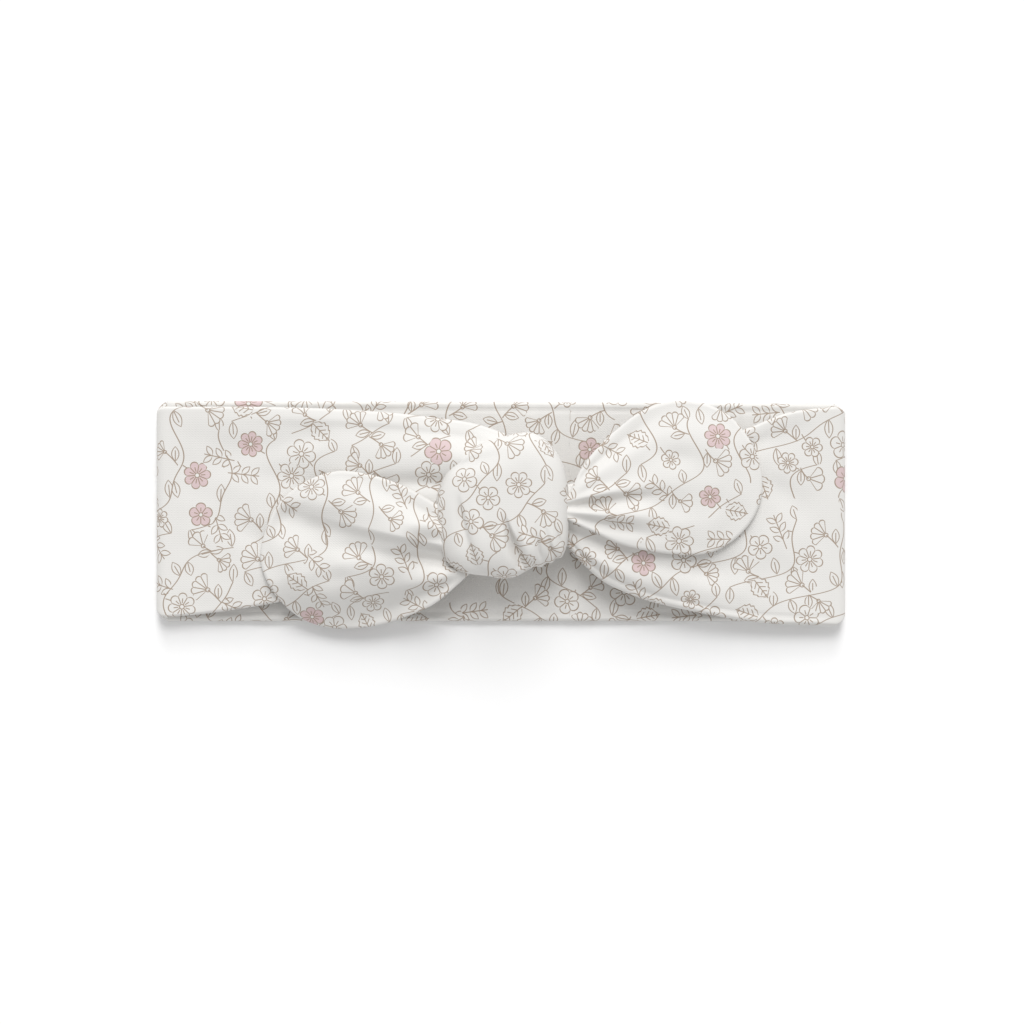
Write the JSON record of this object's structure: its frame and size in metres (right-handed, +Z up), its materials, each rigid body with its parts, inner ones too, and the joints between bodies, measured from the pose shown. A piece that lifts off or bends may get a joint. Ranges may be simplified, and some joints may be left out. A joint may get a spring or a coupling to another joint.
{
  "type": "knotted headband",
  "caption": "Baby headband of soft jersey lying flat: a two-layer tube folded into a loop, knotted at the front, with two rounded tails. Loop opens and tails lift.",
  "frame": {"origin": "centre of the flat headband's footprint, on the surface it lies on", "axes": "+X along the band towards the right fold as seen from above, +Y across the band, +Z up through the knot"},
  "size_m": [0.18, 0.0597, 0.0223],
  "materials": {
    "jersey_face": "matte printed cotton jersey, off-white with a fine brown and pink floral print",
    "jersey_lining": "the same printed cotton jersey, inner layer",
    "seam_thread": "overlocked seam allowance with off-white polyester thread"
  },
  "bodies": {
    "back_center": {"back_center_face": "jersey_face", "back_center_lining": "jersey_lining", "back_center_top_seam": "seam_thread", "back_center_bottom_seam": "seam_thread"},
    "back_left": {"back_left_face": "jersey_face", "back_left_lining": "jersey_lining", "back_left_top_seam": "seam_thread", "back_left_bottom_seam": "seam_thread"},
    "left_arm": {"left_fold_face": "jersey_face", "left_fold_lining": "jersey_lining", "left_arm_face": "jersey_face", "left_arm_lining": "jersey_lining", "left_arm_top_seam": "seam_thread", "left_arm_bottom_seam": "seam_thread"},
    "knot": {"knot_wrap": "jersey_face", "knot_left_strand": "jersey_face", "knot_right_strand": "jersey_face"},
    "left_tail": {"left_tail_face": "jersey_face", "left_tail_lining": "jersey_lining", "left_tail_seam": "seam_thread"},
    "right_tail": {"right_tail_face": "jersey_face", "right_tail_lining": "jersey_lining", "right_tail_seam": "seam_thread"},
    "back_right": {"right_fold_face": "jersey_face", "right_fold_lining": "jersey_lining", "back_right_face": "jersey_face", "back_right_lining": "jersey_lining", "back_right_top_seam": "seam_thread", "back_right_bottom_seam": "seam_thread"},
    "right_arm": {"right_arm_face": "jersey_face", "right_arm_lining": "jersey_lining", "right_arm_top_seam": "seam_thread", "right_arm_bottom_seam": "seam_thread"}
  },
  "joints": [
    {"name": "back_left_bend", "type": "hinge", "parent": "back_center", "child": "back_left", "pos_m": [-0.018, 0, 0.0026], "axis": [0, 1, 0], "range_deg": [0, 56]},
    {"name": "left_fold_open", "type": "hinge", "parent": "back_left", "child": "left_arm", "pos_m": [-0.0871, 0, 0.0029], "axis": [0, 1, 0], "range_deg": [-112, 0], "deforming": ["left_fold_face", "left_fold_lining"]},
    {"name": "knot_left_bend", "type": "hinge", "parent": "left_arm", "child": "knot", "pos_m": [-0.018, 0, 0.0032], "axis": [0, 1, 0], "range_deg": [0, 56]},
    {"name": "knot_right_bend", "type": "hinge", "parent": "knot", "child": "right_arm", "pos_m": [0.018, 0, 0.0032], "axis": [0, 1, 0], "range_deg": [0, 56]},
    {"name": "right_fold_open", "type": "hinge", "parent": "right_arm", "child": "back_right", "pos_m": [0.0871, 0, 0.0029], "axis": [0, 1, 0], "range_deg": [-112, 0], "deforming": ["right_fold_face", "right_fold_lining"]},
    {"name": "left_tail_lift", "type": "hinge", "parent": "knot", "child": "left_tail", "pos_m": [-0.018, 0, 0.0181], "axis": [0, 1, 0], "range_deg": [0, 80]},
    {"name": "right_tail_lift", "type": "hinge", "parent": "knot", "child": "right_tail", "pos_m": [0.018, 0, 0.0181], "axis": [0, -1, 0], "range_deg": [0, 80]}
  ],
  "couplings": [
    {"joint": "left_fold_open", "follows": "back_left_bend", "ratio": -2},
    {"joint": "knot_left_bend", "follows": "back_left_bend", "ratio": 1},
    {"joint": "knot_right_bend", "follows": "back_left_bend", "ratio": 1},
    {"joint": "right_fold_open", "follows": "back_left_bend", "ratio": -2}
  ]
}
